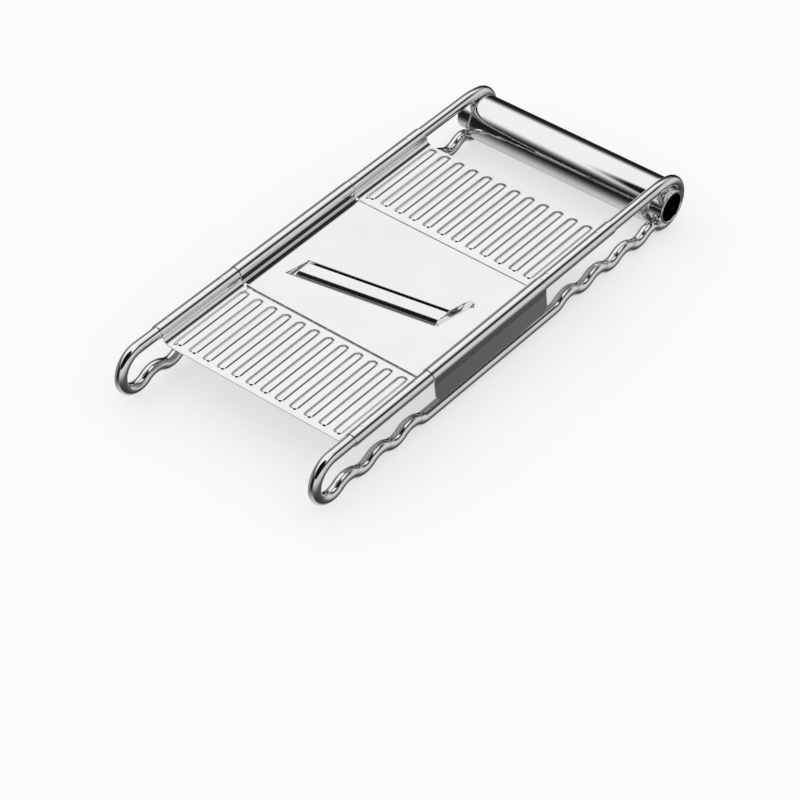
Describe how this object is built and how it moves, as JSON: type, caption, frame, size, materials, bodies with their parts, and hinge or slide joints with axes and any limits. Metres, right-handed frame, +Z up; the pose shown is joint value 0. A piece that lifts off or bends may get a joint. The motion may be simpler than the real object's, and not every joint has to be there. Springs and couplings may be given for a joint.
{
  "type": "interchangeable blade grater",
  "caption": "Flat hand grater of polished steel rod and sheet with a lift-off slicing insert, hinged run-in flap, thickness slider, ribbed plates, wavy bowl rests and a tube handle.",
  "frame": {"origin": "under the middle of the whole, midway between the side rods and midway between nose and handle end, on the table that the loops stand on", "axes": "+X across to the right, +Y from the nose to the handle, +Z up"},
  "size_m": [0.1326, 0.292, 0.0333],
  "materials": {
    "polished_rod": "mirror polished stainless rod",
    "polished_tube": "mirror polished stainless tube",
    "polished_sheet": "mirror polished stainless sheet",
    "satin_sheet": "fine satin stainless sheet",
    "blade_steel": "ground blade steel",
    "plain_steel": "plain stainless"
  },
  "bodies": {
    "frame": {"side_rod_left": "polished_rod", "side_rod_right": "polished_rod", "handle_tube": "polished_tube", "front_plate": "polished_sheet", "rear_plate": "polished_sheet"},
    "insert": {"insert_plate": "polished_sheet", "slicing_blade": "blade_steel", "cover_strip": "polished_sheet", "hinge_ear_left": "plain_steel", "hinge_ear_right": "plain_steel", "hinge_pin": "plain_steel", "slider_guide": "plain_steel"},
    "flap": {"run_in_flap": "satin_sheet"},
    "slider": {"thickness_slider": "plain_steel"}
  },
  "joints": [
    {"name": "insert_lift", "type": "slide", "parent": "frame", "child": "insert", "axis": [0, 0, 1], "range_m": [0, 0.04]},
    {"name": "flap_tilt", "type": "hinge", "parent": "insert", "child": "flap", "pos_m": [-0.00038, -0.01419, 0.02365], "axis": [-0.9848, -0.1736, 0], "range_deg": [0, 7]},
    {"name": "slider_shift", "type": "slide", "parent": "insert", "child": "slider", "axis": [-0.2079, -0.9781, 0], "range_m": [0, 0.0046]}
  ],
  "couplings": [
    {"joint": "slider_shift", "follows": "flap_tilt", "m_per_rad": 0.03765}
  ]
}
